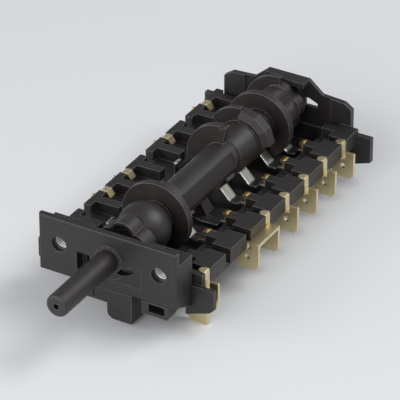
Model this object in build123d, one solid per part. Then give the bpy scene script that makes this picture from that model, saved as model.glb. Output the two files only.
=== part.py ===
from build123d import *
import os
from math import ceil, cos, radians, sin, tan

# An oven selector switch. A moulded camshaft turns in an open contact base over sprung
# contacts that close on rivets in brass terminals. Millimetres. X runs right along the
# front plate, Y back from its face, Z up. The origin is where the spindle axis meets the
# front face of the plate.

# Clearances
running_clearance = 0.08
fit_clearance = 0.05
swept_clearance = 0.3
slot_clearance = 0.1

# Front plate and housing
plate_left = -19.7
plate_right = 18.8
plate_top = 7.2
plate_bottom = -8.55
plate_edge_radius = 0.5
lip_thickness = 1.5
housing_top = 3.3
housing_depth = 7.7
housing_rear_bottom = -11.3
front_wall = 3.0
cavity_half_width = 8.0
cavity_bottom = -7.6
screw_spacing = 28.0
screw_hole_radius = 2.1
screw_seat_depth = 2.2

# Window and half-moon pocket in the front plate
window_half_width = 9.0
window_top = -0.35
window_bottom = -5.55
window_recess_depth = 0.3
window_through_edge = -4.5
spindle_boss_radius = 5.4
moon_across = 3.6
moon_up = 0.8
moon_radius = 4.1
moon_top = -1.33
moon_depth = 2.0

# Foot, apron and latch box under the plate
foot_left = -0.55
foot_right = 6.4
foot_bottom = -16.6
foot_depth = 5.8
foot_corner_radius = 2.0
apron_left = -6.1
apron_bottom = -12.33
apron_depth = 3.0
apron_slit_across = -4.25
apron_slit_width = 0.5
apron_slit_top = -9.9
apron_slit_bottom = -11.8
latch_left = 9.25
latch_right = 16.3
latch_bottom = -12.1
latch_depth = 5.5
latch_chamfer = 1.2
latch_wall_left = 1.85
latch_wall_right = 0.7
latch_mouth_top = -8.9
latch_mouth_bottom = -11.2
latch_mouth_depth = 4.5

# Screw nut plates
nut_width = 4.6
nut_bottom = -4.6
nut_top = 2.9
nut_thickness = 0.8
nut_stop_depth = 0.4
nut_front = housing_depth - nut_stop_depth - nut_thickness
nut_collar_radius = 3.0
nut_collar_start = 2.3
nut_slot_half_width = 2.5
nut_slot_width = 1.4

# Contact base
base_half_width = 21.0
bank_overhang = 3.7
base_inner_half_width = base_half_width - bank_overhang
chamber_half_width = 11.6
chamber_pitch = 10.0
terminal_first = 11.65
floor_bottom = -11.8
floor_top = -10.6
bank_top = -5.7
bank_underside = -6.9
rim_top = -2.7
left_rim_thickness = 2.0
right_rim_thickness = 5.2
front_wall_thickness = 1.1
front_wall_top = 1.5
nut_stop_half_width = 2.0
nut_stop_bottom = -4.0
rib_count = 8
rib_offset = 4.85
rib_first = terminal_first + rib_offset
base_end_margin = 2.8
base_end = rib_first + chamber_pitch * (rib_count - 1) + base_end_margin
rib_thickness = 2.6
rib_inner = 12.4

# Wings beside the front wall
wing_reach = 3.9
wing_outer = base_half_width + wing_reach
wing_top = -5.6
wing_side_bottom = -10.8
wing_corner = 1.2
wing_inner = 17.0
wing_bottom = -14.3

# Detent tower, plunger and spring
tower_half_width = 3.5
tower_reach = 1.7
tower_front = housing_depth - tower_reach
tower_length = 6.0
tower_back = tower_front + tower_length
tower_top = -8.4
tower_bottom = -16.4
tower_floor = 1.0
tower_corner_radius = 0.8
plunger_radius = 1.95
plunger_nose_radius = 1.2
plunger_skirt_bottom = -13.4
plunger_pocket_radius = 1.4
plunger_roof = 1.3
detent_coil_radius = 1.0
detent_wire_radius = 0.2
detent_turns = 6

# Rear wall
rear_wall_thickness = 1.5
rear_wall_inset = 2.2
rear_half_width = base_half_width - rear_wall_inset
hump_half_width = 6.0
hump_top = 7.3
hump_foot = 10.0
hump_foot_height = 3.9
shoulder_run = 2.3
shoulder_height = 3.5
shoulder_corner_height = 2.0
canopy_reach = 2.3
canopy_left_reach = 1.0
canopy_step = -1.0
canopy_thickness = 1.3
panel_inner = 12.7
panel_step = 0.5
rear_window_inner = 5.1
rear_window_outer = 8.7
rear_window_bottom = -0.35
rear_window_top = 2.0
rear_window_slant_start = 6.1
rear_window_slant_end = 0.9
rear_boss_radius = 4.9
ear_reach = 3.65
ear_outer = base_half_width + ear_reach
ear_root = 1.0
ear_top = -4.8
ear_outer_bottom = -11.9
ear_inner_bottom = -13.5
ear_thickness = 1.5

# Camshaft
spindle_radius = 3.0
spindle_length = 23.6
spindle_tip_radius = 0.9
tip_hole_radius = 0.8
tip_hole_depth = 3.0
collar_radius = 3.7
flange_radius = 5.0
flange_thickness = 1.0
tube_radius = 4.8
tube_flat_distance = 4.3
tube_flat_angle = 20.0
thick_tube_start_radius = 5.2
thick_tube_radius = 6.0
rear_journal_radius = 4.0
rear_journal_setback = 0.3
wheel_setback = 0.5
wheel_front = tower_front + wheel_setback
wheel_length = 4.5
wheel_back = wheel_front + wheel_length
wheel_web = 1.0
wheel_lobe_radius = 3.4
wheel_lobe_distance = 3.5
wheel_lobes = 5
wheel_wall = 0.7
wheel_hollow_radius = 4.1
ball_radius = 6.8
ball_centre = 16.8
cam_radius = 9.6
front_disc_front = 22.2
front_disc_thickness = 1.8
front_disc_back = front_disc_front + front_disc_thickness
front_disc_radius = 9.5
rim_block_length = 2.2
rim_block_end = front_disc_back + rim_block_length
rim_block_radius = 8.6
rim_block_first_angle = 52.0
rim_block_last_angle = 92.0
cam_setback = 2.45
cam_thickness = 2.0
second_cam_front = terminal_first + 4 * chamber_pitch + cam_setback
second_cam_back = second_cam_front + cam_thickness
second_cam_first_angle = 80.0
second_cam_last_angle = 190.0
notch_first_angle = 84.0
notch_last_angle = 90.0
notch_cut = 0.8
facet_block_setback = 2.05
facet_block_length = 4.0
facet_block_front = terminal_first + 5 * chamber_pitch + facet_block_setback
facet_block_back = facet_block_front + facet_block_length
third_cam_step = 0.8
third_cam_thickness = 1.5
third_cam_front = facet_block_front + third_cam_step
third_cam_back = third_cam_front + third_cam_thickness
third_cam_first_angle = 90.0
third_cam_last_angle = 150.0
facet_first_angle = 5.0
facet_angle = 29.0
facet_count = 3
facet_radius = 8.4
facet_chamfer = 1.3
third_disc_thickness = 1.9
third_disc_front = terminal_first + 6 * chamber_pitch + cam_setback
third_disc_back = third_disc_front + third_disc_thickness
third_disc_radius = 9.1
rear_ball_radius = 7.4
rear_ball_advance = 1.65
rear_ball_centre = terminal_first + 7 * chamber_pitch - rear_ball_advance
rear_lobe_distance = 4.0
rear_lobe_radius = 3.5
rear_wheel_setback = 1.95
rear_wheel_length = 3.0
rear_wheel_front = terminal_first + 7 * chamber_pitch + rear_wheel_setback
rear_wheel_back = rear_wheel_front + rear_wheel_length
rear_cam_step = 0.3
rear_cam_thickness = 1.2
rear_cam_front = rear_wheel_front + rear_cam_step
rear_cam_back = rear_cam_front + rear_cam_thickness
rear_cam_radius = 9.3
rear_cam_first_angle = 85.0
rear_cam_last_angle = 200.0
low_lobe_radius = 5.5
low_lobe_first_angle = -150.0
low_lobe_last_angle = -30.0
deep_lobe_radius = 8.6
deep_lobe_first_angle = -160.0
deep_lobe_last_angle = -60.0

# Terminals
metal = 0.8
lug_metal = 0.5
lug_setback = 0.1
lug_outer = base_half_width - lug_setback
lug_inner = lug_outer - lug_metal
lug_front = 1.3
lug_back = 1.0
lug_bend = 0.6
lug_reach = 2.2
lug_tip_length = 1.0
lug_tip_narrowing = 0.6
hook_length = 1.9
hook_angle = 55.0
notch_width = 0.75
notch_depth = 1.9
notch_outer = lug_outer + notch_width
tab_shoulder = 2.35
tab_width = 6.3
tab_outer = notch_outer + tab_shoulder
tab_inner = tab_outer - tab_width
tab_bottom = -13.0
tab_corner = 1.0
tab_shoulder_top = -5.5
tab_hole_radius = 0.65
tab_hole_height = -9.5
root_inset = 1.55
anchor_inner = 12.4
anchor_bottom = -9.4
arm_top = -6.4
arm_setback = 0.3
arm_outer = base_inner_half_width - arm_setback
arm_width = 2.0
pad_inner = 8.1
shelf_top = -5.5
junction_step = 2.8
junction_right = tab_outer - junction_step
junction_left = junction_right - tab_width
junction_bottom = -18.2
junction_top = -12.0
junction_chamfer = 1.6

# Contact springs and rivets
spring_metal = 0.35
spring_width = 3.4
spring_top = -2.7
spring_flange = 0.9
spring_flange_length = 2.5
spring_web_top = -6.2
spring_run = -9.5
spring_gap = 0.4
apex_across = 2.1
deep_apex_across = -0.4
apex_width = 0.5
finger_rise_run = 4.1
finger_fall_run = 2.8
finger_fall = 2.9
finger_dip = 0.7
finger_kick_start = 2.0
finger_kick_end = 1.0
finger_end = 1.2
rivet_shank_radius = 0.6
rivet_head_radius = 1.0
rivet_head_height = 0.3
rivet_button_radius = 1.1
rivet_button_height = 0.6
link_front = 17.8
link_back = 20.8
link_tab_width = 1.7
link_tab_height = 1.5

os.makedirs("parts", exist_ok=True)


def block(x_range, y_range, z_range):
    """A box between two planes each way, whichever order they are given in."""
    centre = [(a + b) / 2 for a, b in (x_range, y_range, z_range)]
    size = [abs(b - a) for a, b in (x_range, y_range, z_range)]
    return Pos(*centre) * Box(*size)


def outline(points):
    """A flat face with straight sides through the points."""
    return make_face(Polyline(*points, close=True))


def along_y(face, y_from, y_to):
    """A face drawn across and up, carried back from one depth to another."""
    plane = Plane(origin=(0, y_to, 0), x_dir=(1, 0, 0), z_dir=(0, -1, 0))
    return extrude(plane * face, amount=y_to - y_from)


def rod(radius, y_from, y_to, across=0.0, up=0.0):
    """A round bar along the depth."""
    return along_y(Pos(across, up) * Circle(radius), y_from, y_to)


def polar(radius, angle):
    """The point at an angle from the right, seen from the front."""
    return (radius * cos(radians(angle)), radius * sin(radians(angle)))


def sector(radius, start_angle, end_angle):
    """The slice of a round disc between two angles."""
    steps = ceil((end_angle - start_angle) / 30)
    step = (end_angle - start_angle) / steps
    rim = [polar(2 * radius, start_angle + step * i) for i in range(steps + 1)]
    return Circle(radius) & outline([(0, 0)] + rim)


def terminal_plane(index):
    """The depth of the middle of one terminal's metal."""
    return terminal_first + chamber_pitch * index


def front_housing():
    """The front moulding: plate, open box behind it, foot, apron and latch box."""
    plate = block((plate_left, plate_right), (0, lip_thickness), (plate_bottom, plate_top))
    plate = fillet(plate.faces().sort_by(Axis.Y)[0].edges(), plate_edge_radius)
    side = Plane(origin=(plate_left, 0, 0), x_dir=(0, 1, 0), z_dir=(1, 0, 0)) * outline([
        (lip_thickness, plate_bottom),
        (lip_thickness, housing_top),
        (housing_depth, housing_top),
        (housing_depth, housing_rear_bottom),
    ])
    box = extrude(side, amount=plate_right - plate_left)
    foot_centre = (foot_left + foot_right) / 2
    foot = along_y(Pos(foot_centre, (plate_bottom + foot_bottom) / 2)
                   * Rectangle(foot_right - foot_left, plate_bottom - foot_bottom), 0, foot_depth)
    foot_corner = foot.edges().filter_by(Axis.Y).sort_by(Axis.Z)[:2].sort_by(Axis.X)[0]
    foot = fillet(foot_corner, foot_corner_radius)
    latch = block((latch_left, latch_right), (0, latch_depth), (latch_bottom, plate_bottom))
    latch_corner = latch.edges().filter_by(Axis.Z).sort_by(Axis.Y)[-2:].sort_by(Axis.X)[-1]
    latch = chamfer(latch_corner, latch_chamfer)
    apron = block((apron_left, foot_left), (0, apron_depth), (apron_bottom, plate_bottom))
    apron -= block((apron_slit_across - apron_slit_width / 2, apron_slit_across + apron_slit_width / 2),
                   (0, apron_depth), (apron_slit_bottom, apron_slit_top))
    body = plate + box + foot + latch + apron
    body -= block((latch_left + latch_wall_left, latch_right - latch_wall_right),
                  (0, latch_mouth_depth), (latch_mouth_bottom, latch_mouth_top))
    body -= block((-cavity_half_width, cavity_half_width), (front_wall, housing_depth),
                  (cavity_bottom, housing_top))
    body -= block((-tower_half_width - fit_clearance, tower_half_width + fit_clearance),
                  (tower_front - fit_clearance, housing_depth), (foot_bottom, cavity_bottom))
    window = along_y(Pos(0, (window_top + window_bottom) / 2)
                     * Rectangle(2 * window_half_width, window_top - window_bottom),
                     0, window_recess_depth)
    opening = block((-window_half_width, window_through_edge), (0, front_wall),
                    (window_bottom, window_top))
    boss = rod(spindle_boss_radius, 0, front_wall)
    body -= window - boss
    body -= opening - boss
    above_moon = Pos(moon_across, moon_top + moon_radius) * Rectangle(2 * moon_radius, 2 * moon_radius)
    body -= along_y(Pos(moon_across, moon_up) * Circle(moon_radius) - above_moon, 0, moon_depth)
    body -= rod(collar_radius + running_clearance, 0, front_wall)
    for side_sign in (-1, 1):
        centre = side_sign * screw_spacing / 2
        body -= rod(screw_hole_radius, 0, screw_seat_depth, centre)
        body -= rod(nut_collar_radius + fit_clearance, screw_seat_depth, nut_front, centre)
        pocket_half = nut_width / 2 + fit_clearance
        body -= block((centre - pocket_half, centre + pocket_half), (nut_front, housing_depth),
                      (nut_bottom - fit_clearance, nut_top + fit_clearance))
        body -= block((centre - nut_slot_half_width, centre + nut_slot_half_width),
                      (nut_front + nut_thickness - nut_slot_width, nut_front + nut_thickness),
                      (nut_top, housing_top))
    return body


def nut_plate(side_sign):
    """A steel strip with a drawn collar that takes the panel screw's thread."""
    centre = side_sign * screw_spacing / 2
    strip = block((centre - nut_width / 2, centre + nut_width / 2),
                  (nut_front, nut_front + nut_thickness), (nut_bottom, nut_top))
    collar = rod(nut_collar_radius, nut_collar_start, nut_front, centre)
    return strip + collar - rod(screw_hole_radius, nut_collar_start, nut_front + nut_thickness, centre)


def star(distance, radius):
    """A face with five round lobes about the camshaft's axis, one of them on top."""
    face = Circle(wheel_hollow_radius)
    for index in range(wheel_lobes):
        face += Pos(*polar(distance, 90 + index * 360 / wheel_lobes)) * Circle(radius)
    return face


def rim_inner(side_sign):
    """How far out the raised edge starts: it is a wide platform on the right, a rim on the left."""
    return base_half_width - (right_rim_thickness if side_sign > 0 else left_rim_thickness)


def base_bank(side_sign):
    """One side of the base: the bank beside the cams, its raised edge and its cross ribs."""
    edge = side_sign * rim_inner(side_sign)
    profile = outline([
        (side_sign * chamber_half_width, floor_bottom),
        (side_sign * chamber_half_width, bank_top),
        (edge, bank_top),
        (edge, rim_top),
        (side_sign * base_half_width, rim_top),
        (side_sign * base_half_width, bank_underside),
        (side_sign * base_inner_half_width, bank_underside),
        (side_sign * base_inner_half_width, floor_bottom),
    ])
    bank = along_y(profile, housing_depth + front_wall_thickness, base_end)
    for index in range(rib_count):
        middle = rib_first + chamber_pitch * index
        bank += block((side_sign * rib_inner, edge),
                      (middle - rib_thickness / 2, middle + rib_thickness / 2), (bank_top, rim_top))
    return bank


def front_wall_outline(side_sign):
    """Half of the base's front wall with the wing that stands out beside it."""
    return outline([
        (0, floor_bottom),
        (0, tower_top),
        (side_sign * cavity_half_width, tower_top),
        (side_sign * cavity_half_width, front_wall_top),
        (side_sign * base_inner_half_width, front_wall_top),
        (side_sign * base_inner_half_width, wing_top),
        (side_sign * wing_outer, wing_top),
        (side_sign * wing_outer, wing_side_bottom),
        (side_sign * (wing_outer - wing_corner), wing_side_bottom - wing_corner),
        (side_sign * wing_inner, wing_bottom),
        (side_sign * wing_inner, floor_bottom),
    ])


def canopy():
    """The flat roof that reaches forward from the hump's top, further on the right."""
    heights = (hump_top - canopy_thickness, hump_top)
    back = base_end + panel_step
    left_part = block((-hump_half_width, canopy_step), (base_end - canopy_left_reach, back), heights)
    return left_part + block((canopy_step, hump_half_width), (base_end - canopy_reach, back), heights)


def rear_wall_outline(side_sign):
    """Half of the rear wall with the hump over the bearing and its sloped shoulder."""
    return outline([
        (0, floor_bottom),
        (0, hump_top),
        (side_sign * hump_half_width, hump_top),
        (side_sign * hump_foot, hump_foot_height),
        (side_sign * (rear_half_width - shoulder_run), shoulder_height),
        (side_sign * rear_half_width, shoulder_corner_height),
        (side_sign * rear_half_width, floor_bottom),
    ])


def contact_base():
    """The long moulding: floor, banks, ribs, front wall, detent tower and rear wall."""
    rear_face = base_end + rear_wall_thickness
    body = block((-base_inner_half_width, base_inner_half_width), (housing_depth, rear_face),
                 (floor_bottom, floor_top))
    for side_sign in (-1, 1):
        body += base_bank(side_sign)
        body += along_y(front_wall_outline(side_sign), housing_depth,
                        housing_depth + front_wall_thickness)
        centre = side_sign * screw_spacing / 2
        body += block((centre - nut_stop_half_width, centre + nut_stop_half_width),
                      (nut_front + nut_thickness, housing_depth), (nut_stop_bottom, front_wall_top))
        body += along_y(rear_wall_outline(side_sign), base_end, rear_face)
        ear = outline([
            (side_sign * (rear_half_width - ear_root), ear_top),
            (side_sign * ear_outer, ear_top),
            (side_sign * ear_outer, ear_outer_bottom),
            (side_sign * (base_half_width - ear_root), ear_inner_bottom),
            (side_sign * (rear_half_width - ear_root), ear_inner_bottom),
        ])
        body += along_y(ear, base_end, base_end + ear_thickness)
        window = outline([
            (side_sign * rear_window_inner, rear_window_bottom),
            (side_sign * rear_window_outer, rear_window_bottom),
            (side_sign * rear_window_outer, rear_window_slant_end),
            (side_sign * rear_window_slant_start, rear_window_top),
            (side_sign * rear_window_inner, rear_window_top),
        ])
        body -= along_y(window, base_end, rear_face)
    body -= block((-panel_inner, panel_inner), (base_end, base_end + panel_step), (bank_top, hump_top))
    body += canopy()
    tower = block((-tower_half_width, tower_half_width), (tower_front, tower_back),
                  (tower_bottom, tower_top))
    tower = fillet(tower.edges().filter_by(Axis.Z), tower_corner_radius)
    body += tower
    boss_front = rear_wheel_back + swept_clearance
    body += rod(rear_boss_radius, boss_front, base_end + panel_step)
    body -= rod(rear_journal_radius + running_clearance, boss_front, rear_face)
    tower_centre = (tower_front + tower_back) / 2
    bore_height = tower_top - tower_bottom - tower_floor
    bore = Cylinder(plunger_radius + fit_clearance, bore_height)
    body -= Pos(0, tower_centre, tower_top - bore_height / 2) * bore
    for side_sign in (-1, 1):
        for index in terminal_indices(side_sign):
            body -= terminal_room(side_sign, index)
        for index in range(rib_count):
            plane = terminal_plane(index)
            body -= block((side_sign * rim_inner(side_sign), side_sign * base_half_width),
                          (plane - lug_front - slot_clearance, plane + lug_back + slot_clearance),
                          (bank_underside, rim_top))
    return body


def terminal_indices(side_sign):
    """The slots that hold a terminal on one side."""
    if side_sign > 0:
        return (0, 2, 3, 4, 5, 6, 7)
    return (2, 3, 5, 7)


def terminal_room(side_sign, index):
    """The pocket in the base that one terminal is pressed into from outside."""
    plane = terminal_plane(index)
    half = metal / 2 + fit_clearance
    blade = block((side_sign * (anchor_inner - fit_clearance), side_sign * base_half_width),
                  (plane - half, plane + half),
                  (anchor_bottom - fit_clearance, arm_top - metal + fit_clearance))
    arm = block((side_sign * chamber_half_width, side_sign * base_half_width),
                (plane - half, plane - metal / 2 + arm_width + fit_clearance),
                (arm_top - metal - fit_clearance, arm_top + fit_clearance))
    return blade + arm


def terminal_blade(side_sign, index, arm_end):
    """The tab with its anchor in the base and the arm bent back from its top edge."""
    plane = terminal_plane(index)
    root = base_half_width - root_inset
    notch_floor = tab_shoulder_top - notch_depth
    seat = arm_top - metal
    profile = [
        (tab_outer, tab_shoulder_top),
        (tab_outer, tab_bottom + tab_corner),
        (tab_outer - tab_corner, tab_bottom),
        (tab_inner + tab_corner, tab_bottom),
        (tab_inner, tab_bottom + tab_corner),
        (tab_inner, anchor_bottom),
        (anchor_inner, anchor_bottom),
        (anchor_inner, seat),
        (root, seat),
        (root, tab_shoulder_top),
        (lug_outer, tab_shoulder_top),
        (lug_outer, notch_floor),
        (notch_outer, notch_floor),
        (notch_outer, tab_shoulder_top),
    ]
    face = outline([(side_sign * x, z) for x, z in profile])
    hole_across = side_sign * (tab_outer + tab_inner) / 2
    face -= Pos(hole_across, tab_hole_height) * Circle(tab_hole_radius)
    blade = along_y(face, plane - metal / 2, plane + metal / 2)
    arm = block((side_sign * arm_end, side_sign * arm_outer),
                (plane - metal / 2, plane - metal / 2 + arm_width), (seat, arm_top))
    return blade + arm


def lug_fold(side_sign):
    """The lug's way inward from its outer top corner, and back along its underside."""
    if side_sign > 0:
        tip = lug_outer - lug_reach
        return [(tip, rim_top), (tip, rim_top - lug_metal)]
    bend = rim_inner(side_sign) - fit_clearance
    slope_run = cos(radians(hook_angle))
    slope_drop = sin(radians(hook_angle))
    end = (bend - hook_length * slope_run, rim_top - hook_length * slope_drop)
    return [
        (bend, rim_top),
        end,
        (end[0] + lug_metal * slope_drop, end[1] - lug_metal * slope_run),
        (bend + lug_metal * tan(radians(hook_angle / 2)), rim_top - lug_metal),
    ]


def terminal_lug(side_sign, index):
    """The strip that climbs through its slot in the raised edge and folds in at the top."""
    plane = terminal_plane(index)
    notch_floor = tab_shoulder_top - notch_depth
    profile = [(lug_inner, notch_floor), (lug_outer, notch_floor), (lug_outer, rim_top)]
    profile += lug_fold(side_sign)
    profile.append((lug_inner, rim_top - lug_metal))
    strip = along_y(outline([(side_sign * x, z) for x, z in profile]), plane - lug_front, plane + lug_back)
    top_edges = strip.edges().filter_by(Axis.Y).sort_by(Axis.Z)[-2:]
    outer_edge = top_edges.sort_by(Axis.X)[-1 if side_sign > 0 else 0]
    strip = fillet(outer_edge, lug_bend)
    if side_sign > 0:
        tip = lug_outer - lug_reach
        for y, step in ((plane - lug_front, lug_tip_narrowing), (plane + lug_back, -lug_tip_narrowing)):
            corner = outline([(tip, y), (tip + lug_tip_length, y), (tip, y + step)])
            strip -= Pos(0, 0, rim_top) * extrude(corner, amount=lug_metal, both=True)
    return strip


def terminal(side_sign, index):
    """A tab terminal with its lug, and with an arm to its contact."""
    arm_end = pad_inner if side_sign > 0 else chamber_half_width
    piece = terminal_blade(side_sign, index, arm_end) + terminal_lug(side_sign, index)
    if side_sign > 0:
        piece -= rivet_hole(index)
    return piece


def pad_centre(index):
    """The middle of the contact pad at the end of one arm."""
    across = pad_inner + rivet_button_radius + fit_clearance
    return (across, terminal_plane(index) - metal / 2 + arm_width / 2)


def rivet_hole(index):
    """The hole through a pad for its contact rivet."""
    across, depth = pad_centre(index)
    return Pos(across, depth, arm_top - metal / 2) * Cylinder(rivet_shank_radius, metal)


def junction_terminal():
    """The first terminal on the right, with a second tab hanging lower in one sheet."""
    plane = terminal_plane(0)
    lower_tab = outline([
        (junction_right, junction_top),
        (junction_right, junction_bottom),
        (junction_left + junction_chamfer, junction_bottom),
        (junction_left, junction_bottom + junction_chamfer),
        (junction_left, junction_top),
    ])
    piece = terminal_blade(1, 0, chamber_half_width) + terminal_lug(1, 0)
    return piece + along_y(lower_tab, plane - metal / 2, plane + metal / 2)


def bridged_terminal():
    """Two tabs in one piece, joined by a shelf outside the base."""
    shelf = block((base_half_width + fit_clearance, tab_outer), (terminal_plane(2), terminal_plane(3)),
                  (shelf_top - metal, shelf_top))
    first = terminal_blade(1, 2, pad_inner) - rivet_hole(2)
    return first + shelf + terminal(1, 3)


def contact_rivets():
    """Six contact rivets, one through each pad on the right."""
    rivets = []
    for index in range(2, 8):
        across, depth = pad_centre(index)
        head = Pos(across, depth, arm_top + rivet_head_height / 2)
        shank = Pos(across, depth, arm_top - metal / 2)
        button = Pos(across, depth, arm_top - metal - rivet_button_height / 2)
        rivet = head * Cylinder(rivet_head_radius, rivet_head_height)
        rivet += shank * Cylinder(rivet_shank_radius, metal)
        rivet += button * Cylinder(rivet_button_radius, rivet_button_height)
        rivets.append(rivet)
    return Compound(children=rivets)


def spring_finger(index, apex_radius, across):
    """One contact finger: along the floor, up to its apex under the cam, down and out."""
    pad_across = pad_centre(index)[0]
    tip_top = arm_top - metal - rivet_button_height
    apex_height = -(apex_radius ** 2 - across ** 2) ** 0.5
    low = max(min(apex_height - finger_fall, tip_top - finger_dip), spring_run)
    apex_start = across - apex_width / 2
    apex_end = across + apex_width / 2
    upper = [
        (-chamber_half_width, spring_run),
        (apex_start - finger_rise_run, spring_run),
        (apex_start, apex_height),
        (apex_end, apex_height),
        (apex_end + finger_fall_run, low),
        (pad_across - finger_kick_start, low),
        (pad_across - finger_kick_end, tip_top),
        (pad_across + finger_end, tip_top),
    ]
    lower = [(x, z - spring_metal) for x, z in reversed(upper)]
    middle = terminal_plane(index)
    return along_y(outline(upper + lower), middle - spring_width / 2, middle + spring_width / 2)


def contact_spring(fingers):
    """A silver comb: a web on the chamber wall, a flange on top and its fingers."""
    first = terminal_plane(fingers[0][0]) - spring_width / 2
    last = terminal_plane(fingers[-1][0]) + spring_width / 2
    wall_face = -chamber_half_width
    comb = block((wall_face, wall_face + spring_metal), (first, last),
                 (spring_run - spring_metal, spring_web_top))
    comb += block((wall_face, wall_face + spring_metal), (last - spring_flange_length, last),
                  (spring_web_top, spring_top))
    comb += block((wall_face, wall_face + spring_flange), (last - spring_flange_length, last),
                  (spring_top - spring_metal, spring_top))
    for index, apex_radius, across in fingers:
        comb += spring_finger(index, apex_radius, across)
    return comb


def link_strip():
    """A silver strip on the left wall of the first chamber, with a small tab facing the front."""
    web = block((-chamber_half_width, -chamber_half_width + spring_metal), (link_front, link_back),
                (floor_top, spring_top))
    tab = block((-chamber_half_width, -chamber_half_width + link_tab_width),
                (link_front, link_front + spring_metal), (spring_top - link_tab_height, spring_top))
    return web + tab


def detent_wheel():
    """The star wheel: a thin lobed wall, open at the front, closed behind by a web."""
    wheel = along_y(star(wheel_lobe_distance, wheel_lobe_radius), wheel_front, wheel_back)
    hollow = star(wheel_lobe_distance, wheel_lobe_radius - wheel_wall)
    return wheel - along_y(hollow, wheel_front, wheel_back - wheel_web)


def facet_block():
    """The wide faceted block of the third cam, with its front edge sloped."""
    corners = [polar(facet_radius, facet_first_angle + facet_angle * i) for i in range(facet_count + 1)]
    block_body = along_y(outline([(0, 0)] + corners), facet_block_front, facet_block_back)
    front_edges = block_body.faces().sort_by(Axis.Y)[0].edges()
    rim_edges = front_edges.sort_by_distance((0, facet_block_front, 0))[-facet_count:]
    return chamfer(rim_edges, facet_chamfer)


def camshaft():
    """The one-piece spindle, detent wheel, cams and journals."""
    spindle = rod(spindle_radius, -spindle_length, wheel_back)
    spindle = fillet(spindle.edges().sort_by(Axis.Y)[0], spindle_tip_radius)
    body = spindle - rod(tip_hole_radius, -spindle_length, tip_hole_depth - spindle_length)
    flange_front = front_wall + swept_clearance
    body += rod(collar_radius, 0, flange_front)
    body += rod(flange_radius, flange_front, flange_front + flange_thickness)
    body += detent_wheel()
    body += rod(tube_radius, wheel_back - wheel_web, rear_wheel_front)
    flat = Rot(0, 0, tube_flat_angle) * Pos(tube_flat_distance + tube_radius / 2, 0)
    body -= along_y(flat * Rectangle(tube_radius, 2 * tube_radius), front_disc_back, second_cam_front)
    thick_middle = (second_cam_back + facet_block_front) / 2
    body += Pos(0, thick_middle, 0) * Rot(-90, 0, 0) * Cone(
        thick_tube_start_radius, thick_tube_radius, facet_block_front - second_cam_back)
    body += rod(thick_tube_radius, facet_block_front, facet_block_back)
    body += Pos(0, ball_centre, 0) * Sphere(ball_radius)
    body += rod(front_disc_radius, front_disc_front, front_disc_back)
    body += rod(third_disc_radius, third_disc_front, third_disc_back)
    body += along_y(sector(rim_block_radius, rim_block_first_angle, rim_block_last_angle),
                    front_disc_back, rim_block_end)
    cam = sector(cam_radius, second_cam_first_angle, second_cam_last_angle)
    notch = sector(cam_radius, notch_first_angle, notch_last_angle) - Circle(cam_radius - notch_cut)
    body += along_y(cam - notch, second_cam_front, second_cam_back)
    body += along_y(sector(cam_radius, third_cam_first_angle, third_cam_last_angle),
                    third_cam_front, third_cam_back)
    body += facet_block()
    for index in (2, 4, 6):
        middle = terminal_plane(index)
        body += along_y(sector(low_lobe_radius, low_lobe_first_angle, low_lobe_last_angle),
                        middle - spring_width / 2, middle + spring_width / 2)
    middle = terminal_plane(3)
    body += along_y(sector(deep_lobe_radius, deep_lobe_first_angle, deep_lobe_last_angle),
                    middle - spring_width / 2, middle + spring_width / 2)
    rear_ball = Pos(0, rear_ball_centre, 0) * Sphere(rear_ball_radius)
    body += rear_ball & along_y(star(rear_lobe_distance, rear_lobe_radius), third_disc_front,
                                rear_wheel_front)
    body += along_y(star(wheel_lobe_distance, wheel_lobe_radius), rear_wheel_front, rear_wheel_back)
    body += along_y(sector(rear_cam_radius, rear_cam_first_angle, rear_cam_last_angle),
                    rear_cam_front, rear_cam_back)
    journal_end = base_end + rear_wall_thickness - rear_journal_setback
    body += rod(rear_journal_radius, rear_wheel_back, journal_end)
    return body


def wheel_tip_radius():
    """The circle that the tips of the detent wheel sweep."""
    return wheel_lobe_distance + wheel_lobe_radius


def plunger_nose_height():
    """The top of the plunger's nose when it is pressed clear of the wheel."""
    return -wheel_tip_radius() - swept_clearance


def detent_plunger():
    """The hollow plunger with a round nose that the wheel's valleys catch."""
    nose_centre = plunger_nose_height() - plunger_nose_radius
    skirt_height = nose_centre - plunger_skirt_bottom
    body = Pos(0, 0, plunger_skirt_bottom + skirt_height / 2) * Cylinder(plunger_radius, skirt_height)
    body += Pos(0, 0, nose_centre) * Sphere(plunger_nose_radius)
    pocket_height = skirt_height - plunger_roof
    pocket = Cylinder(plunger_pocket_radius, pocket_height)
    body -= Pos(0, 0, plunger_skirt_bottom + pocket_height / 2) * pocket
    return Pos(0, (tower_front + tower_back) / 2, 0) * body


def detent_spring():
    """The coil spring under the plunger, on the floor of its tower."""
    coil_bottom = tower_bottom + tower_floor
    nose_centre = plunger_nose_height() - plunger_nose_radius
    coil_height = nose_centre - plunger_roof - coil_bottom
    rise = coil_height - 2 * detent_wire_radius
    path = Helix(rise / detent_turns, rise, detent_coil_radius)
    start = Plane(origin=path @ 0, z_dir=path % 0)
    coil = sweep(start * Circle(detent_wire_radius), path=path)
    return Pos(0, (tower_front + tower_back) / 2, coil_bottom + detent_wire_radius) * coil


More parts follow.
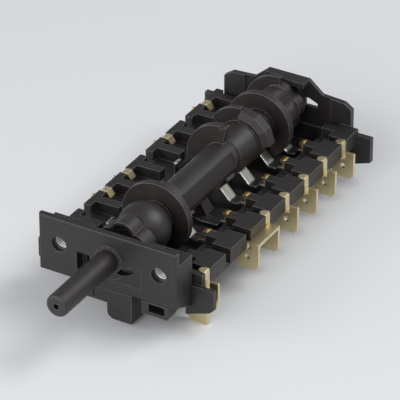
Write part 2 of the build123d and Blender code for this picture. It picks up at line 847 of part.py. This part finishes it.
export_step(front_housing(), "parts/front_housing.step")
export_step(contact_base(), "parts/contact_base.step")
export_step(camshaft(), "parts/camshaft.step")
export_step(nut_plate(-1), "parts/nut_plate_left.step")
export_step(nut_plate(1), "parts/nut_plate_right.step")
export_step(detent_plunger(), "parts/detent_plunger.step")
export_step(detent_spring(), "parts/detent_spring.step")
export_step(junction_terminal(), "parts/terminal_right_0.step")
export_step(bridged_terminal(), "parts/terminal_right_2_3.step")
for right_index in (4, 5, 6, 7):
    export_step(terminal(1, right_index), f"parts/terminal_right_{right_index}.step")
for left_index in terminal_indices(-1):
    export_step(terminal(-1, left_index), f"parts/terminal_left_{left_index}.step")
export_step(contact_rivets(), "parts/contact_rivets.step")
export_step(link_strip(), "parts/link_strip.step")

# Each finger is its slot, the radius its apex keeps from the shaft axis, and its place across
low_apex = low_lobe_radius + spring_gap
thick_apex = thick_tube_radius + spring_gap
deep_apex = deep_lobe_radius + swept_clearance
ball_apex = rear_ball_radius + spring_gap
combs = {
    "contact_spring_2": [(2, low_apex, apex_across)],
    "contact_spring_3_4": [(3, deep_apex, deep_apex_across), (4, low_apex, apex_across)],
    "contact_spring_5_6": [(5, thick_apex, apex_across), (6, low_apex, apex_across)],
    "contact_spring_7": [(7, ball_apex, apex_across)],
}
for comb_name, comb_fingers in combs.items():
    export_step(contact_spring(comb_fingers), f"parts/{comb_name}.step")
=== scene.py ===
import math

import bmesh
import bpy
from mathutils import Matrix, Vector


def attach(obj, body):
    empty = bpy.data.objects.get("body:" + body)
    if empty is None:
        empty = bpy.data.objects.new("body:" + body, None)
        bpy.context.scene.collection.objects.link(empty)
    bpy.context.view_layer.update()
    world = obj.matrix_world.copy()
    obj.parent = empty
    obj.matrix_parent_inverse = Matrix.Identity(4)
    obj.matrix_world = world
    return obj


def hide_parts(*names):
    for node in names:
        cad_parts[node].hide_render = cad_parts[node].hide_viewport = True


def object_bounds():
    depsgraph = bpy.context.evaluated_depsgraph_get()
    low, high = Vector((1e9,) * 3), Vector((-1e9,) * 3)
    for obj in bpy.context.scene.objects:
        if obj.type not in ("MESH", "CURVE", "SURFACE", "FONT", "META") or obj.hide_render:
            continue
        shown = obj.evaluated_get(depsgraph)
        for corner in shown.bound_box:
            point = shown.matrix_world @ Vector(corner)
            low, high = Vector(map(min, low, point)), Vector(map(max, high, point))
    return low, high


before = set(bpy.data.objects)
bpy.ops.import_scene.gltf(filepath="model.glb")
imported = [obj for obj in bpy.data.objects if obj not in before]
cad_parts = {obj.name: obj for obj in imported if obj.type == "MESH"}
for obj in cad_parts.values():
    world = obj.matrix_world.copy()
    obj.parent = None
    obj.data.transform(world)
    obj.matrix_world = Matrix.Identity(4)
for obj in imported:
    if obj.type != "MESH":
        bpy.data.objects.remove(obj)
cad_low, cad_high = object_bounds()

# Contact base: the long black moulding that carries everything, injection moulded in
# glass-filled PBT. It comes out of the tool satin, with a fine grain of glass near the skin,
# drawn a little coarser than it is so that it shows, and a paler colour painted along its
# edges and corners as a highlight, broken up by the grain.


def linear(hex_colour):
    """An sRGB hex colour as linear red, green, blue and alpha."""
    channels = []
    for start in (0, 2, 4):
        value = int(hex_colour[start:start + 2], 16) / 255
        channels.append(value / 12.92 if value <= 0.04045 else ((value + 0.055) / 1.055) ** 2.4)
    return (*channels, 1.0)


def add_node(tree, kind, attributes=None, inputs=None):
    """Add a node, set its attributes, and set or link each of its inputs."""
    node = tree.nodes.new(kind)
    for name, value in (attributes or {}).items():
        setattr(node, name, value)
    for name, value in (inputs or {}).items():
        if isinstance(value, bpy.types.NodeSocket):
            tree.links.new(value, node.inputs[name])
        else:
            node.inputs[name].default_value = value
    return node


def new_material(name):
    """An empty node material with its output node."""
    material = bpy.data.materials.new(name)
    material.use_nodes = True
    material.node_tree.nodes.clear()
    output = add_node(material.node_tree, "ShaderNodeOutputMaterial")
    return material, material.node_tree, output


def edge_mask(tree, radius, full_turn):
    """How far a rounded normal turns from the face's own: high along edges and corners, where a
    highlight colour is painted.
    """
    slight_turn = 0.01
    rounded = add_node(tree, "ShaderNodeBevel", {"samples": 6}, {"Radius": radius})
    flat = add_node(tree, "ShaderNodeNewGeometry")
    turned = add_node(tree, "ShaderNodeVectorMath", {"operation": "DOT_PRODUCT"},
                      {0: rounded.outputs["Normal"], 1: flat.outputs["Normal"]})
    mask = add_node(tree, "ShaderNodeMapRange", {"clamp": True},
                    {"Value": turned.outputs["Value"], "From Min": 1.0 - slight_turn,
                     "From Max": 1.0 - full_turn, "To Min": 0.0, "To Max": 1.0})
    return rounded.outputs["Normal"], mask.outputs["Result"]


def moulded_plastic(name, skin, pale, edge_highlight, roughness, grain_mm):
    """Glass-filled moulding compound: satin skin, fine grain, shallow flow marks, painted edge
    highlights.
    """
    flow_mark_mm = 6.0
    flow_depth_mm = 0.2
    grain_depth_mm = 0.03
    corner_mm = 0.18
    shiniest = roughness - 0.06
    dullest = roughness + 0.07
    material, tree, output = new_material(name)
    place = add_node(tree, "ShaderNodeTexCoord").outputs["Object"]
    flow = add_node(tree, "ShaderNodeTexNoise", {"noise_dimensions": "3D"},
                    {"Vector": place, "Scale": 1000 / flow_mark_mm, "Detail": 4.0,
                     "Roughness": 0.6})
    grain = add_node(tree, "ShaderNodeTexNoise", {"noise_dimensions": "3D"},
                     {"Vector": place, "Scale": 1000 / grain_mm, "Detail": 2.0, "Roughness": 0.7})
    # A paler colour painted along edges and corners as a highlight, broken up by the grain.
    rounded, painted_edge_highlight = edge_mask(tree, corner_mm / 1000, 0.20)
    body = add_node(tree, "ShaderNodeMix", {"data_type": "RGBA"},
                    {0: flow.outputs["Fac"], 6: linear(skin), 7: linear(pale)})
    amount = add_node(tree, "ShaderNodeMath", {"operation": "MULTIPLY"},
                      {0: painted_edge_highlight, 1: grain.outputs["Fac"]})
    colour = add_node(tree, "ShaderNodeMix", {"data_type": "RGBA"},
                      {0: amount.outputs[0], 6: body.outputs[2], 7: linear(edge_highlight)})
    sheen = add_node(tree, "ShaderNodeMapRange", {},
                     {"Value": flow.outputs["Fac"], "From Min": 0.3, "From Max": 0.7,
                      "To Min": shiniest, "To Max": dullest})
    waves = add_node(tree, "ShaderNodeBump", {},
                     {"Strength": 0.25, "Distance": flow_depth_mm / 1000,
                      "Height": flow.outputs["Fac"], "Normal": rounded})
    bump = add_node(tree, "ShaderNodeBump", {},
                    {"Strength": 0.35, "Distance": grain_depth_mm / 1000,
                     "Height": grain.outputs["Fac"], "Normal": waves.outputs["Normal"]})
    skin_shader = add_node(tree, "ShaderNodeBsdfPrincipled", {},
                           {"Base Color": colour.outputs[2], "Roughness": sheen.outputs["Result"],
                            "IOR": 1.57, "Normal": bump.outputs["Normal"]})
    tree.links.new(skin_shader.outputs[0], output.inputs["Surface"])
    return material


def dress(node, material):
    """Give a CAD node its finished material."""
    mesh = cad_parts[node].data
    mesh.materials.clear()
    mesh.materials.append(material)


base_compound = moulded_plastic("glass-filled PBT, moulded black", skin="181516", pale="221e1e",
                                edge_highlight="bfb6ae", roughness=0.48, grain_mm=0.22)
dress("contact_base", base_compound)

# Terminals: blanked and folded from 0.8 mm brass sheet and pressed into the base from
# outside. The sheet keeps its rolling lines, drawn wider apart than the real ones so that
# they show, and a brighter colour is painted along each edge as a highlight.


def rolled_metal(name, face, shade, edge_highlight, roughness, spread, line_mm, line_depth_mm, across,
                 corner_mm=0.2):
    """Rolled sheet: metallic, with fine rolling lines, faint tarnish and painted edge highlights.
    """
    tarnish_mm = 4.0
    material, tree, output = new_material(name)
    place = add_node(tree, "ShaderNodeTexCoord").outputs["Object"]
    stretch = add_node(tree, "ShaderNodeMapping", {}, {"Vector": place, "Scale": across})
    lines = add_node(tree, "ShaderNodeTexNoise", {"noise_dimensions": "3D"},
                     {"Vector": stretch.outputs["Vector"], "Scale": 1000 / line_mm, "Detail": 2.0})
    tarnish = add_node(tree, "ShaderNodeTexNoise", {"noise_dimensions": "3D"},
                       {"Vector": place, "Scale": 1000 / tarnish_mm, "Detail": 4.0,
                        "Roughness": 0.65})
    # A brighter colour painted along every edge and corner: a painted highlight.
    rounded, edge_highlight_mask = edge_mask(tree, corner_mm / 1000, 0.25)
    body = add_node(tree, "ShaderNodeMix", {"data_type": "RGBA"},
                    {0: tarnish.outputs["Fac"], 6: linear(face), 7: linear(shade)})
    colour = add_node(tree, "ShaderNodeMix", {"data_type": "RGBA"},
                      {0: edge_highlight_mask, 6: body.outputs[2], 7: linear(edge_highlight)})
    sheen = add_node(tree, "ShaderNodeMapRange", {},
                     {"Value": lines.outputs["Fac"], "From Min": 0.3, "From Max": 0.7,
                      "To Min": roughness - spread, "To Max": roughness + spread})
    bump = add_node(tree, "ShaderNodeBump", {},
                    {"Strength": 0.3, "Distance": line_depth_mm / 1000,
                     "Height": lines.outputs["Fac"], "Normal": rounded})
    metal_shader = add_node(tree, "ShaderNodeBsdfPrincipled", {},
                            {"Base Color": colour.outputs[2], "Metallic": 1.0,
                             "Roughness": sheen.outputs["Result"],
                             "Normal": bump.outputs["Normal"]})
    tree.links.new(metal_shader.outputs[0], output.inputs["Surface"])
    return material


sheet_brass = rolled_metal("brass sheet, stamped", face="eadab0", shade="d9c89c", edge_highlight="fff5da",
                           roughness=0.33, spread=0.04, line_mm=0.25, line_depth_mm=0.006,
                           across=(1, 0.06, 0.06))
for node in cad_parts:
    if node.startswith("terminal_"):
        dress(node, sheet_brass)

# Contact rivets: cold-headed brass rivets, one through the pad at the end of each right arm.
# Each has a low domed head above the pad, which catches the light as a gold dot, and a flat
# contact button below it, on a thin shank.
rivet_brass = rolled_metal("brass rivet, cold headed", face="ffe098", shade="ffd07c", edge_highlight="fff0c4",
                           roughness=0.42, spread=0.02, line_mm=0.4, line_depth_mm=0.0005,
                           across=(1, 1, 1))
round_sides = 32
dome_rings = 16


def rivet_tree():
    """A row of rivets: a domed head, a shank and a contact button at each place of a line."""
    tree = bpy.data.node_groups.new("row of rivets", "GeometryNodeTree")
    tree.interface.new_socket("Geometry", in_out="OUTPUT", socket_type="NodeSocketGeometry")
    tree.interface.new_socket("Count", in_out="INPUT", socket_type="NodeSocketInt")
    for name in ("First", "Step", "Head Scale", "Shank Place", "Button Place"):
        tree.interface.new_socket(name, in_out="INPUT", socket_type="NodeSocketVector")
    for name in ("Shank Radius", "Shank Length", "Button Radius", "Button Length"):
        tree.interface.new_socket(name, in_out="INPUT", socket_type="NodeSocketFloat")
    tree.interface.new_socket("Material", in_out="INPUT", socket_type="NodeSocketMaterial")
    given = add_node(tree, "NodeGroupInput").outputs
    places = add_node(tree, "GeometryNodeMeshLine", {"mode": "OFFSET"},
                      {"Count": given["Count"], "Start Location": given["First"],
                       "Offset": given["Step"]})
    ball = add_node(tree, "GeometryNodeMeshUVSphere", {},
                    {"Segments": round_sides, "Rings": dome_rings, "Radius": 1.0})
    dome = add_node(tree, "GeometryNodeTransform", {},
                    {"Geometry": ball.outputs["Mesh"], "Scale": given["Head Scale"]})
    smooth = add_node(tree, "GeometryNodeSetShadeSmooth", {},
                      {"Geometry": dome.outputs["Geometry"]})
    joined = add_node(tree, "GeometryNodeJoinGeometry", {},
                      {"Geometry": smooth.outputs["Geometry"]})
    for part in ("Shank", "Button"):
        round_bar = add_node(tree, "GeometryNodeMeshCylinder", {},
                             {"Vertices": round_sides, "Radius": given[part + " Radius"],
                              "Depth": given[part + " Length"]})
        moved = add_node(tree, "GeometryNodeTransform", {},
                         {"Geometry": round_bar.outputs["Mesh"],
                          "Translation": given[part + " Place"]})
        tree.links.new(moved.outputs["Geometry"], joined.inputs["Geometry"])
    row = add_node(tree, "GeometryNodeInstanceOnPoints", {},
                   {"Points": places.outputs["Mesh"], "Instance": joined.outputs["Geometry"]})
    realized = add_node(tree, "GeometryNodeRealizeInstances", {},
                        {"Geometry": row.outputs["Instances"]})
    painted = add_node(tree, "GeometryNodeSetMaterial", {},
                       {"Geometry": realized.outputs["Geometry"], "Material": given["Material"]})
    add_node(tree, "NodeGroupOutput", {}, {"Geometry": painted.outputs["Geometry"]})
    return tree


def grown(name, tree, values):
    """Run a node tree on an empty mesh with its inputs set by identifier, and keep the mesh."""
    holder = bpy.data.objects.new(name + "_holder", bpy.data.meshes.new(name + "_holder"))
    bpy.context.scene.collection.objects.link(holder)
    modifier = holder.modifiers.new("grow", "NODES")
    modifier.node_group = tree
    for socket in tree.interface.items_tree:
        if socket.in_out == "INPUT" and socket.name in values:
            modifier[socket.identifier] = values[socket.name]
    bpy.context.view_layer.update()
    evaluated = holder.evaluated_get(bpy.context.evaluated_depsgraph_get())
    mesh = bpy.data.meshes.new_from_object(evaluated)
    holder.modifiers.remove(modifier)
    bpy.data.objects.remove(holder)
    made = bpy.data.objects.new(name, mesh)
    bpy.context.scene.collection.objects.link(made)
    return made


rivet_x = 0.00925
first_rivet_y = 0.03225
rivet_pitch = 0.010
rivet_count = 6
pad_top = -0.0064
pad_bottom = -0.0072
button_face = -0.0078
head_radius = 0.0010
head_height = 0.00045
shank_radius = 0.0006
button_radius = 0.0011
rivets = grown("rivet_row", rivet_tree(), {
    "Count": rivet_count, "First": (rivet_x, first_rivet_y, pad_top), "Step": (0, rivet_pitch, 0),
    "Head Scale": (head_radius, head_radius, head_height),
    "Shank Place": (0, 0, (pad_bottom - pad_top) / 2), "Shank Radius": shank_radius,
    "Shank Length": pad_top - pad_bottom,
    "Button Place": (0, 0, (pad_bottom + button_face) / 2 - pad_top),
    "Button Radius": button_radius, "Button Length": pad_bottom - button_face,
    "Material": rivet_brass})
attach(rivets, "frame")
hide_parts("contact_rivets")

# Contact springs and link strip: blanked from thin bronze strip, bent, and silver plated.
# The plate is pale and a little dull, with faint rolling lines along each finger and a
# broad white edge painted on as a highlight, over widely rounded edge normals.
silver_strip = rolled_metal("silver-plated bronze strip", face="c6c4bd", shade="b3b0a8",
                            edge_highlight="ffffff", roughness=0.30, spread=0.04, line_mm=0.3,
                            line_depth_mm=0.0028, across=(0.08, 1, 0.08), corner_mm=0.6)
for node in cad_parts:
    if node.startswith("contact_spring_") or node == "link_strip":
        dress(node, silver_strip)

# Detent plunger and its coil spring: a small plunger of smooth, milky acetal over a spring
# wound from bright drawn wire, down in the tower under the star wheel.
acetal = moulded_plastic("acetal, moulded natural", skin="cfccc0", pale="d9d6cb", edge_highlight="e8e6dd",
                         roughness=0.35, grain_mm=0.3)
dress("detent_plunger", acetal)
spring_wire = rolled_metal("spring steel wire, drawn", face="a9abad", shade="8d8f92",
                           edge_highlight="c9cbcd", roughness=0.30, spread=0.05, line_mm=0.1,
                           line_depth_mm=0.004, across=(1, 1, 0.2))
dress("detent_spring", spring_wire)

# Camshaft: spindle, star wheel, cams and tube in one moulding of glass-filled polyamide,
# a shade browner than the base. It snaps down into the base's two bearings.
shaft_compound = moulded_plastic("glass-filled PA66, moulded black", skin="1d1918", pale="282220",
                                 edge_highlight="cabfb6", roughness=0.48, grain_mm=0.22)
dress("camshaft", shaft_compound)

# Front housing: plate, box and foot in one moulding of the same black PBT as the base.
# It drops over the front of the base and carries the camshaft's front bearing.
dress("front_housing", base_compound)

# Nut plates: strips of zinc-plated steel, each with a drawn collar behind a screw hole,
# coloured a darker grey than zinc as painted shade where they show down the housing's slots.
# The collar is tapped M4 and its thin lip stands a little way up the hole, so that the thread
# shows as close ridges, coloured pure white as a painted highlight.
# Darker than zinc: painted shade for the plates seen deep in the housing's slots.
zinc_plate_painted_dark = rolled_metal("steel, zinc plated", face="73777b", shade="64686c", edge_highlight="94979a",
                          roughness=0.50, spread=0.04, line_mm=0.3, line_depth_mm=0.002,
                          across=(1, 0.2, 1))
# Pure white, brighter than cut steel: a painted highlight on the thread ridges.
thread_steel_painted_white = rolled_metal("steel, freshly tapped", face="ffffff", shade="f4f6f8", edge_highlight="ffffff",
                         roughness=0.42, spread=0.02, line_mm=0.2, line_depth_mm=0.0005,
                         across=(1, 0.2, 1))
dress("nut_plate_left", zinc_plate_painted_dark)
dress("nut_plate_right", zinc_plate_painted_dark)

screw_x = 0.014
thread_pitch = 0.0007
thread_root = 0.00209
thread_height = 0.00046
thread_start = 0.0017
thread_end = 0.0072
steps_per_turn = 40
ridge_sides = 8


def thread_tree():
    """A helical ridge inside a collar, drawn from its pitch, radius and length."""
    tree = bpy.data.node_groups.new("tapped thread", "GeometryNodeTree")
    tree.interface.new_socket("Geometry", in_out="OUTPUT", socket_type="NodeSocketGeometry")
    for name in ("Turns", "Root Radius", "Length", "Ridge Size"):
        tree.interface.new_socket(name, in_out="INPUT", socket_type="NodeSocketFloat")
    tree.interface.new_socket("Material", in_out="INPUT", socket_type="NodeSocketMaterial")
    given = add_node(tree, "NodeGroupInput").outputs
    path_radius = add_node(tree, "ShaderNodeMath", {"operation": "SUBTRACT"},
                           {0: given["Root Radius"], 1: given["Ridge Size"]})
    spiral = add_node(tree, "GeometryNodeCurveSpiral", {},
                      {"Resolution": steps_per_turn, "Rotations": given["Turns"],
                       "Start Radius": path_radius.outputs[0], "End Radius": path_radius.outputs[0],
                       "Height": given["Length"]})
    ridge = add_node(tree, "GeometryNodeCurvePrimitiveCircle", {"mode": "RADIUS"},
                     {"Resolution": ridge_sides, "Radius": given["Ridge Size"]})
    swept = add_node(tree, "GeometryNodeCurveToMesh", {},
                     {"Curve": spiral.outputs["Curve"], "Profile Curve": ridge.outputs["Curve"],
                      "Fill Caps": True})
    realized = add_node(tree, "GeometryNodeRealizeInstances", {},
                        {"Geometry": swept.outputs["Mesh"]})
    painted = add_node(tree, "GeometryNodeSetMaterial", {},
                       {"Geometry": realized.outputs["Geometry"], "Material": given["Material"]})
    add_node(tree, "NodeGroupOutput", {}, {"Geometry": painted.outputs["Geometry"]})
    return tree


thread_shape = thread_tree()
for side, name in ((-1, "thread_left"), (1, "thread_right")):
    thread = grown(name, thread_shape, {
        "Turns": (thread_end - thread_start) / thread_pitch, "Root Radius": thread_root,
        "Length": thread_end - thread_start, "Ridge Size": thread_height / 2,
        "Material": thread_steel_painted_white})
    thread.data.transform(Matrix.Translation((side * screw_x, thread_start, 0))
                          @ Matrix.Rotation(math.radians(-90), 4, "X"))
    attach(thread, "frame")

lip_outer = 0.00214
lip_front = 0.0014
lip_back = 0.0024
lip_sides = 64


def collar_lip(name, middle):
    """A thin closed ring round the first turns of a thread."""
    section = ((thread_root, lip_front), (lip_outer, lip_front),
               (lip_outer, lip_back), (thread_root, lip_back))
    points = []
    faces = []
    for turn in range(lip_sides):
        angle = math.tau * turn / lip_sides
        following = (turn + 1) % lip_sides
        for corner, (radius, depth) in enumerate(section):
            points.append((middle + radius * math.cos(angle), depth, radius * math.sin(angle)))
            beside = (corner + 1) % len(section)
            faces.append((len(section) * turn + corner, len(section) * turn + beside,
                          len(section) * following + beside, len(section) * following + corner))
    mesh = bpy.data.meshes.new(name)
    mesh.from_pydata(points, [], faces)
    form = bmesh.new()
    form.from_mesh(mesh)
    bmesh.ops.recalc_face_normals(form, faces=form.faces)
    form.to_mesh(mesh)
    form.free()
    mesh.materials.append(zinc_plate_painted_dark)
    made = bpy.data.objects.new(name, mesh)
    bpy.context.scene.collection.objects.link(made)
    return made


for side, name in ((-1, "collar_lip_left"), (1, "collar_lip_right")):
    lip = collar_lip(name, side * screw_x)
    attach(lip, "frame")

# Floor: a plain pale sheet of matt card, on which the switch rests on its lowest tab.
floor_reach = 3.0
floor_material, floor_tree, floor_output = new_material("pale matt card")
floor_shader = add_node(floor_tree, "ShaderNodeBsdfPrincipled", {},
                        {"Base Color": linear("e4e6e9"), "Roughness": 0.75})
floor_tree.links.new(floor_shader.outputs[0], floor_output.inputs["Surface"])
floor_mesh = bpy.data.meshes.new("floor")
floor_form = bmesh.new()
bmesh.ops.create_grid(floor_form, x_segments=1, y_segments=1, size=floor_reach)
floor_form.to_mesh(floor_mesh)
floor_form.free()
floor = bpy.data.objects.new("floor", floor_mesh)
bpy.context.scene.collection.objects.link(floor)
floor_mesh.transform(Matrix.Translation((0, 0, cad_low.z)))
floor_mesh.materials.append(floor_material)

# Studio light: one soft box high on the right behind, one low on the left, one in front that
# reaches into the screw holes, and a plain pale room.
room_strength = 0.24
added_in_metal = 0.13
room = bpy.data.worlds.new("plain room")
bpy.context.scene.world = room
room.use_nodes = True
room.node_tree.nodes.clear()
ray = add_node(room.node_tree, "ShaderNodeLightPath").outputs
mirrored = add_node(room.node_tree, "ShaderNodeMath", {"operation": "MULTIPLY"},
                    {0: ray["Is Glossy Ray"], 1: added_in_metal})
seen = add_node(room.node_tree, "ShaderNodeMath", {"operation": "ADD"},
                {0: mirrored.outputs[0], 1: room_strength})
backdrop = add_node(room.node_tree, "ShaderNodeMath", {"operation": "MAXIMUM"},
                    {0: seen.outputs[0], 1: ray["Is Camera Ray"]})
room_light = add_node(room.node_tree, "ShaderNodeBackground", {},
                      {"Color": linear("f2f4f7"), "Strength": backdrop.outputs[0]})
add_node(room.node_tree, "ShaderNodeOutputWorld", {}, {"Surface": room_light.outputs[0]})

switch_middle = Vector((0, 0.04, 0))
box_width = 0.6


def soft_box(name, place, power):
    """A square area lamp that faces the switch."""
    lamp = bpy.data.lights.new(name, "AREA")
    lamp.shape = "SQUARE"
    lamp.size = box_width
    lamp.energy = power
    fitting = bpy.data.objects.new(name, lamp)
    fitting.location = place
    aim = switch_middle - Vector(place)
    fitting.rotation_euler = aim.to_track_quat("-Z", "Y").to_euler()
    bpy.context.scene.collection.objects.link(fitting)


soft_box("rear_box", place=(0.53, 0.35, 0.73), power=5.6)
soft_box("left_box", place=(-0.63, -0.59, 0.33), power=4.0)
soft_box("front_box", place=(0.10, -0.80, 0.42), power=4.2)

# Camera: the photograph's viewpoint, a long lens from the front right and above.
camera_place = (0.35820, -0.57757, 0.43584)
sensor_mm = 36.0
lens_mm = 302.4
camera_data = bpy.data.cameras.new("camera")
camera_data.sensor_width = sensor_mm
camera_data.lens = lens_mm
camera_data.clip_start = 0.01
camera_data.clip_end = 20.0
camera = bpy.data.objects.new("camera", camera_data)
bpy.context.scene.collection.objects.link(camera)
right = Vector((0.86606, 0.49993, 0.00127)).normalized()
forward = Vector((-0.42495, 0.73751, -0.52488)).normalized()
upward = right.cross(forward).normalized()
turn = Matrix((right, upward, -forward)).transposed().to_4x4()
camera.matrix_world = Matrix.Translation(camera_place) @ turn
bpy.context.scene.camera = camera
bpy.context.scene.view_settings.view_transform = "Standard"
